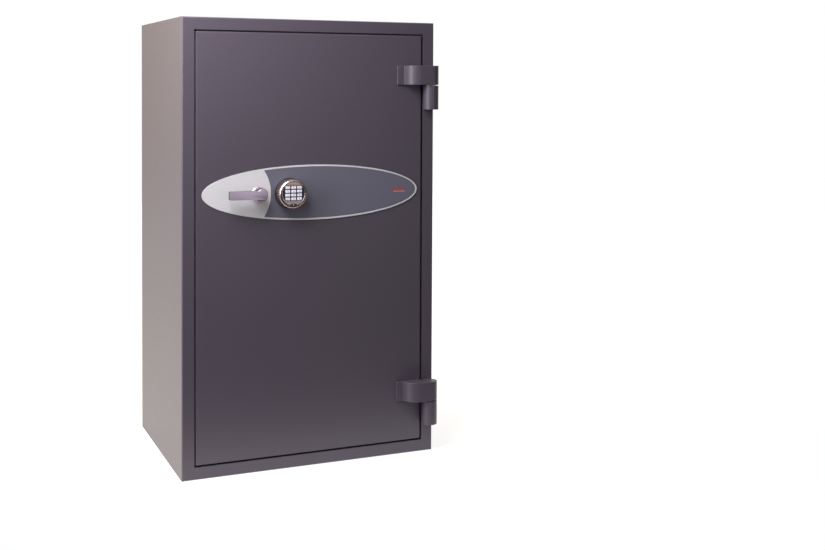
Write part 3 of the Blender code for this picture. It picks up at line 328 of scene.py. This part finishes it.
def finish_piece(name, bm, material, body):
    """Turn a shape in world coordinates into a piece that rides on a CAD body."""
    bmesh.ops.recalc_face_normals(bm, faces=bm.faces)
    mesh = bpy.data.meshes.new(name)
    bm.to_mesh(mesh)
    bm.free()
    mesh.shade_smooth()
    mesh.set_sharp_from_angle(angle=SOFT_ANGLE)
    mesh.materials.append(MATERIALS[material])
    piece = bpy.data.objects.new(name, mesh)
    bpy.context.scene.collection.objects.link(piece)
    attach(piece, body)
    return piece


def soften(piece, width):
    """Round a piece's sharp edges."""
    bevel = piece.modifiers.new("bevel", "BEVEL")
    bevel.width = width
    bevel.segments = 2
    bevel.limit_method = "ANGLE"
    bevel.angle_limit = SOFT_ANGLE


def place(axis, u, v, along):
    return {"X": (along, u, v), "Y": (u, along, v), "Z": (u, v, along)}[axis]


def ring_points(centre, radius, count):
    turns = [2 * math.pi * i / count for i in range(count)]
    return [(centre[0] + radius * math.cos(a), centre[1] + radius * math.sin(a)) for a in turns]


def hexagon_points(centre, across, count):
    """As many points as on a ring, but on a hexagon of this half width."""
    points = []
    for i in range(count):
        turn = 2 * math.pi * i / count
        radius = across / math.cos((turn + math.pi / 6) % (math.pi / 3) - math.pi / 6)
        points.append((centre[0] + radius * math.cos(turn), centre[1] + radius * math.sin(turn)))
    return points


def ring(bm, points, along, axis):
    return [bm.verts.new(place(axis, u, v, along)) for u, v in points]


def skin_rings(bm, rings, closed=False):
    """Join neighbouring rings of vertices with faces."""
    pairs = list(zip(rings, rings[1:]))
    if closed:
        pairs.append((rings[-1], rings[0]))
    for low, high in pairs:
        count = max(len(low), len(high))
        for i in range(count):
            j = (i + 1) % count
            loop = (low[i % len(low)], low[j % len(low)], high[j % len(high)], high[i % len(high)])
            bm.faces.new(list(dict.fromkeys(loop)))


def turned(bm, profile, centre, axis, count=24):
    """A profile of (radius, along) pairs turned round an axis; a radius of 0 closes an end."""
    skin_rings(bm, turned_rings(bm, profile, centre, axis, count))


def turned_rings(bm, profile, centre, axis, count):
    rings = []
    for radius, along in profile:
        points = ring_points(centre, radius, count) if radius else [centre]
        rings.append(ring(bm, points, along, axis))
    return rings


def prism(bm, outline, low, high, axis):
    ends = [ring(bm, outline, along, axis) for along in (low, high)]
    skin_rings(bm, ends)
    bm.faces.new(reversed(ends[0]))
    bm.faces.new(ends[1])


def capsule(left, right, low, high, steps=8):
    """A bar's outline with round ends, level or upright."""
    half = min(right - left, high - low) / 2
    outline = []
    for i in range(4 * steps):
        turn = 2 * math.pi * (i + 0.5) / (4 * steps)
        u = right - half if math.cos(turn) > 0 else left + half
        v = high - half if math.sin(turn) > 0 else low + half
        outline.append((u + half * math.cos(turn), v + half * math.sin(turn)))
    return outline


# ------------------------------------------------------------------ keypad

KEYPAD_LOW, KEYPAD_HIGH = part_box("keypad_housing")
KEYPAD = ((KEYPAD_LOW[0] + KEYPAD_HIGH[0]) / 2, (KEYPAD_LOW[2] + KEYPAD_HIGH[2]) / 2)
KEYPAD_FRONT = KEYPAD_LOW[1]
KEYPAD_RADIUS = (KEYPAD_HIGH[0] - KEYPAD_LOW[0]) / 2


def figure_solid(name, figure):
    """A figure in thin relief, flat on the XY plane."""
    text = bpy.data.curves.new(name, "FONT")
    text.body = figure
    text.size = FIGURE
    text.extrude = FIGURE_DEPTH
    text.offset = FIGURE_SPREAD
    carrier = bpy.data.objects.new(name, text)
    bpy.context.scene.collection.objects.link(carrier)
    graph = bpy.context.evaluated_depsgraph_get()
    mesh = bpy.data.meshes.new_from_object(carrier.evaluated_get(graph))
    bpy.data.objects.remove(carrier)
    bm = bmesh.new()
    bm.from_mesh(mesh)
    bpy.data.meshes.remove(mesh)
    bmesh.ops.remove_doubles(bm, verts=bm.verts, dist=1e-7)
    return bm


def print_key(name, figure, key):
    """A figure in raised print at the middle of a key cap."""
    bm = figure_solid(name, figure)
    xs = [vert.co.x for vert in bm.verts]
    ys = [vert.co.y for vert in bm.verts]
    middle = Vector(((min(xs) + max(xs)) / 2, (min(ys) + max(ys)) / 2, 0.0))
    low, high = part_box(key)
    seat = Vector(((low[0] + high[0]) / 2, low[1] - FIGURE_DEPTH - TOUCH, (low[2] + high[2]) / 2))
    upright = Matrix.Rotation(math.pi / 2, 4, "X")
    bm.transform(Matrix.Translation(seat) @ upright @ Matrix.Translation(-middle))
    finish_piece(name, bm, "key_print", key)


def make_figures():
    figures = {str(n): str(n) for n in range(10)}
    figures.update({"star": "*", "hash": "#"})
    for key, figure in figures.items():
        print_key(f"key_print_{key}", figure, f"key_{key}")


def front_at(u, v):
    """How far back the housing's front lies at a place, on its rounded shoulder."""
    over = math.hypot(u - KEYPAD[0], v - KEYPAD[1]) - (KEYPAD_RADIUS - SHOULDER)
    return KEYPAD_FRONT + (SHOULDER - math.sqrt(SHOULDER ** 2 - over ** 2) if over > 0 else 0.0)


def cut_circle(middle, radius, half, steps=12):
    """A circle round the field's middle, cut straight across at the top and bottom."""
    side = math.asin(half / radius)
    outline = []
    for start in (-side, math.pi - side):
        for i in range(steps + 1):
            turn = start + 2 * side * i / steps
            outline.append((KEYPAD[0] + radius * math.cos(turn), middle + radius * math.sin(turn)))
    return outline


def make_bezel():
    """A thin polished lip round the field of keys."""
    low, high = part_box("keypad_face")
    radius = (high[0] - low[0]) / 2
    half = (high[2] - low[2]) / 2
    middle = (low[2] + high[2]) / 2
    section = ((0.0, 0.0), (0.0, -0.0005), (BEZEL * 0.3, -0.0008), (BEZEL * 0.7, -0.0008),
               (BEZEL, -0.0005), (BEZEL, 0.0))
    bm = bmesh.new()
    rings = []
    for grow, rise in section:
        outline = cut_circle(middle, radius + BEZEL_GAP + grow, half + BEZEL_GAP + grow)
        rings.append([bm.verts.new((u, front_at(u, v) - TOUCH + rise, v)) for u, v in outline])
    skin_rings(bm, rings, closed=True)
    finish_piece("keypad_bezel", bm, "polished_nickel", "door")


def crescent_outline(steps=10):
    """The recess below the keys: a flat arc below and a rounder one above it."""
    half, rim, crown = RECESS
    drop = math.sqrt(rim ** 2 - half ** 2)
    points = []
    for i in range(2 * steps + 1):
        across = half * (i / steps - 1)
        points.append((KEYPAD[0] + across, KEYPAD[1] - math.sqrt(rim ** 2 - across ** 2)))
    tight = (half ** 2 + (drop - crown) ** 2) / (2 * (drop - crown))
    for i in range(1, 2 * steps):
        across = half * (1 - i / steps)
        rise = math.sqrt(tight ** 2 - across ** 2) - tight
        points.append((KEYPAD[0] + across, KEYPAD[1] - crown + rise))
    return points


def make_signal_lenses():
    """Two small domed lenses above the keys."""
    for side, way in (("left", -1), ("right", 1)):
        centre = (KEYPAD[0] + way * LENS_X, KEYPAD[1] + LENS_Z)
        seat = KEYPAD_FRONT - TOUCH
        dome = [(0, seat), (LENS, seat), (LENS, seat - 0.0002), (LENS * 0.8, seat - 0.0005),
                (LENS * 0.4, seat - 0.0007), (0, seat - 0.0008)]
        bm = bmesh.new()
        turned(bm, dome, centre, "Y", 20)
        finish_piece(f"signal_lens_{side}", bm, "amber_lens", "door")


def make_recess_pieces():
    """A dark pad on the floor of the recess below the keys, and a small grip on the pad."""
    floor = KEYPAD_FRONT + RECESS_DEPTH - TOUCH
    pad = floor - RECESS_PAD
    bm = bmesh.new()
    prism(bm, crescent_outline(), pad, floor, "Y")
    finish_piece("recess_pad", bm, "dark_plastic", "door")
    half, low, high = NUB
    outline = capsule(KEYPAD[0] - half, KEYPAD[0] + half, KEYPAD[1] + low, KEYPAD[1] + high)
    bm = bmesh.new()
    prism(bm, outline, floor - GRIP_HEIGHT, pad - TOUCH, "Y")
    soften(finish_piece("recess_grip", bm, "polished_nickel", "door"), 0.0004)


def make_marks():
    """A plain red bar over a plain pale line, printed on the badge's panel."""
    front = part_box("badge_panel")[0][1] - TOUCH
    for name, look, (left, right, low, high) in (("badge_bar", "mark_red", BAR),
                                                 ("badge_line", "mark_grey", LINE)):
        bm = bmesh.new()
        prism(bm, capsule(left, right, low, high, 4), front - MARK_DEPTH, front, "Y")
        finish_piece(name, bm, look, "door")


# ------------------------------------------------------------------ fasteners

def make_cover_screws():
    """Socket button screws round the rim of the door's back cover."""
    low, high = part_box("door_back_cover")
    xs = (low[0] + SCREW_INSET, high[0] - SCREW_INSET)
    zs = (low[2] + SCREW_INSET, high[2] - SCREW_INSET)
    step = (zs[1] - zs[0]) / SCREW_ROWS
    places = [(x, zs[0] + step * i) for x in xs for i in range(SCREW_ROWS + 1)]
    places += [((xs[0] + xs[1]) / 2, z) for z in zs]
    for i, centre in enumerate(places):
        make_button_screw(f"cover_screw_{i + 1}", centre, high[1] + TOUCH)


def make_button_screw(name, centre, seat):
    """A domed head with a hexagon socket, on a short shank through the cover."""
    shank, head, rise, brim = 0.0020, 0.0042, 0.0022, 0.0004
    socket, depth, drill_tip = 0.0012, 0.0012, 0.0003
    shank_end, shank_edge = seat - 0.0045, seat - 0.0040
    chamfer = 0.0004
    count = 24
    turns = [math.radians(turn) for turn in (0, 20, 40, 58)]
    dome = [(head * math.cos(a), seat + brim + (rise - brim) * math.sin(a)) for a in turns]
    profile = [(0, shank_end), (shank - chamfer, shank_end), (shank, shank_edge),
               (shank, seat), (head, seat)] + dome
    bm = bmesh.new()
    rings = turned_rings(bm, profile, centre, "Y", count)
    mouth = dome[-1][1]
    hexagon = hexagon_points(centre, socket, count)
    rings += [ring(bm, hexagon, along, "Y") for along in (mouth, mouth - depth)]
    rings.append(ring(bm, [centre], mouth - depth - drill_tip, "Y"))
    skin_rings(bm, rings)
    finish_piece(name, bm, "plated_steel", "door")


def make_base_plugs():
    """Push-in plugs that close the anchor holes from inside."""
    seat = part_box("inner_liner")[0][2] + LINER_SKIN + TOUCH
    profile = [(0, seat - 0.010), (0.0070, seat - 0.010), (0.0076, seat - 0.007), (0.0076, seat),
               (0.0112, seat), (0.0112, seat + 0.0008), (0.0100, seat + 0.0018), (0, seat + 0.0024)]
    names = (f"base_plug_{i}" for i in range(1, 5))
    for x in (-BASE_HOLE_X, BASE_HOLE_X):
        for y in BASE_HOLE_Y:
            bm = bmesh.new()
            turned(bm, profile, (x, y), "Z", 28)
            finish_piece(next(names), bm, "dark_plastic", "cabinet")


# ------------------------------------------------------------------ CAD surfaces

PLAIN_PLATE = "door_front_plate"    # its only small edges are holes that the badge hides
BEVELS = {
    "outer_casing": 0.0018, PLAIN_PLATE: 0.0040, "hinge_arm_upper": 0.0014,
    "hinge_arm_lower": 0.0014, "hinge_knuckle_upper": 0.0014, "hinge_knuckle_lower": 0.0014,
    "door_frame": 0.0010, "door_pan": 0.0008, "inner_liner": 0.0008, "badge_backplate": 0.0004,
    "badge_panel": 0.0002, "handle_rosette": 0.0004, "keypad_base": 0.0006, "keypad_face": 0.0002,
    "back_panel": 0.0010, "door_back_cover": 0.0006, "battery_tray": 0.0005,
    "shelf_lower": 0.0004, "shelf_middle": 0.0004, "shelf_upper": 0.0004,
}
BEVELS.update({name: 0.0005 for name in NODES if name.startswith("key_")})


def dress_cad_nodes():
    """Give each CAD node its own finish, smooth round faces and softened edges."""
    slots = {part["node"]: part["material_slot"] for part in frame["record"]["subparts"]}
    for name, node in NODES.items():
        node.data.materials.clear()
        node.data.materials.append(MATERIALS[slots[name]])
        node.data.shade_smooth()
        weld = node.modifiers.new("weld", "WELD")
        weld.merge_threshold = WELD
        if name in BEVELS:
            bevel_node(node, BEVELS[name])
        else:
            split = node.modifiers.new("sharp edges", "EDGE_SPLIT")
            split.split_angle = SOFT_ANGLE
            split.use_edge_sharp = False


def bevel_node(node, width):
    """Whole flat faces first, so that only real edges are rounded."""
    flat = node.modifiers.new("flat faces", "DECIMATE")
    flat.decimate_type = "DISSOLVE"
    flat.angle_limit = math.radians(0.5)
    bevel = node.modifiers.new("bevel", "BEVEL")
    bevel.width = width
    bevel.segments = 3
    bevel.limit_method = "ANGLE"
    bevel.angle_limit = SOFT_ANGLE
    bevel.use_clamp_overlap = node.name != PLAIN_PLATE
    normals = node.modifiers.new("flat shading", "WEIGHTED_NORMAL")
    normals.mode = "FACE_AREA"
    normals.weight = 100


# ------------------------------------------------------------------ camera and light

def make_camera():
    """A rising-front camera: its stand slants the view, which keeps uprights parallel."""
    camera = bpy.data.objects.new("camera", bpy.data.cameras.new("camera"))
    stand = bpy.data.objects.new("camera_stand", None)
    slant = Matrix.Identity(4)
    slant[1][2] = RISE
    camera.data.lens = FOCAL_LENGTH * math.hypot(1.0, RISE)
    turn = Matrix.Rotation(math.radians(CAMERA_TURN), 4, "Z")
    pitch = Matrix.Rotation(math.radians(90 + CAMERA_PITCH), 4, "X")
    roll = Matrix.Rotation(math.radians(CAMERA_ROLL), 4, "Z")
    aimed = Matrix.Translation(CAMERA_PLACE) @ turn @ pitch @ roll
    camera.matrix_basis = aimed
    camera.parent = stand
    camera.matrix_parent_inverse = aimed @ slant @ aimed.inverted()
    bpy.context.scene.collection.objects.link(stand)
    bpy.context.scene.collection.objects.link(camera)
    bpy.context.scene.camera = camera


def add_light(name, place_at, aim, size, power, colour):
    data = bpy.data.lights.new(name, "AREA")
    data.shape = "RECTANGLE"
    data.size, data.size_y = size
    data.energy = power
    data.color = colour
    lamp = bpy.data.objects.new(name, data)
    lamp.location = place_at
    lamp.rotation_euler = (Vector(aim) - Vector(place_at)).to_track_quat("-Z", "Y").to_euler()
    lamp.visible_camera = False
    bpy.context.scene.collection.objects.link(lamp)


def make_floor():
    """A sheet of pale paper under the safe, much longer behind it than in front."""
    corners = [(FLOOR_X[i], FLOOR_Y[j]) for i, j in ((0, 0), (1, 0), (1, 1), (0, 1))]
    bm = bmesh.new()
    bm.faces.new(ring(bm, corners, -FLOOR_DROP, "Z"))
    mesh = bpy.data.meshes.new("studio_floor")
    bm.to_mesh(mesh)
    bm.free()
    mesh.materials.append(MATERIALS["studio_floor"])
    floor = bpy.data.objects.new("studio_floor", mesh)
    bpy.context.scene.collection.objects.link(floor)


def cove_strength(tree):
    """How bright the studio is in each direction: most above and behind, least in front."""
    direction = tree.nodes.new("ShaderNodeTexCoord").outputs["Generated"]
    axes = tree.nodes.new("ShaderNodeSeparateXYZ")
    tree.links.new(direction, axes.inputs["Vector"])
    total = tree.nodes.new("ShaderNodeMath")
    tree.links.new(map_range(tree, axes.outputs["Y"], (-0.3, 0.5), (0.05, 0.8)), total.inputs[0])
    tree.links.new(map_range(tree, axes.outputs["Z"], (0.35, 0.95), (0.0, 0.75)), total.inputs[1])
    return total.outputs[0]


def make_sky():
    """A white cove where it is seen directly, and a warm, graded light on the safe."""
    world = bpy.data.worlds.new("studio")
    world.use_nodes = True
    tree = world.node_tree
    background = tree.nodes["Background"]
    seen = tree.nodes.new("ShaderNodeLightPath").outputs["Is Camera Ray"]
    hue = tree.nodes.new("ShaderNodeMix")
    hue.data_type = "RGBA"
    hue.inputs["A"].default_value = (1.0, 0.93, 0.86, 1.0)
    hue.inputs["B"].default_value = (1.0, 1.0, 1.0, 1.0)
    tree.links.new(seen, hue.inputs["Factor"])
    tree.links.new(hue.outputs["Result"], background.inputs["Color"])
    strength = tree.nodes.new("ShaderNodeMix")
    tree.links.new(seen, strength.inputs["Factor"])
    tree.links.new(cove_strength(tree), strength.inputs["A"])
    strength.inputs["B"].default_value = 1.0
    tree.links.new(strength.outputs["Result"], background.inputs["Strength"])
    bpy.context.scene.world = world
    bpy.context.scene.view_settings.view_transform = "Standard"


def make_studio():
    make_floor()
    make_sky()
    add_light("key_light", (-0.75, -0.80, 1.74), (-0.28, -0.27, 1.12), (1.0, 0.7), 24.5, (0.97, 0.98, 1.0))
    add_light("left_softbox", (-2.6, 0.9, 1.9), (-0.36, 0.0, 1.6), (2.0, 1.0), 68, (1.0, 0.80, 0.32))
    add_light("side_strip", (-1.9, -1.0, 1.3), (0.2, -0.3, 1.0), (0.35, 1.6), 30, (0.90, 0.93, 1.0))
    add_light("front_panel", (0.75, -3.2, 0.75), (-0.15, -0.3, 0.75), (1.6, 1.6), 5, (1.0, 0.96, 1.0))


MATERIALS = make_materials()
make_camera()
dress_cad_nodes()
make_figures()
make_bezel()
make_signal_lenses()
make_recess_pieces()
make_marks()
make_cover_screws()
make_base_plugs()
make_studio()
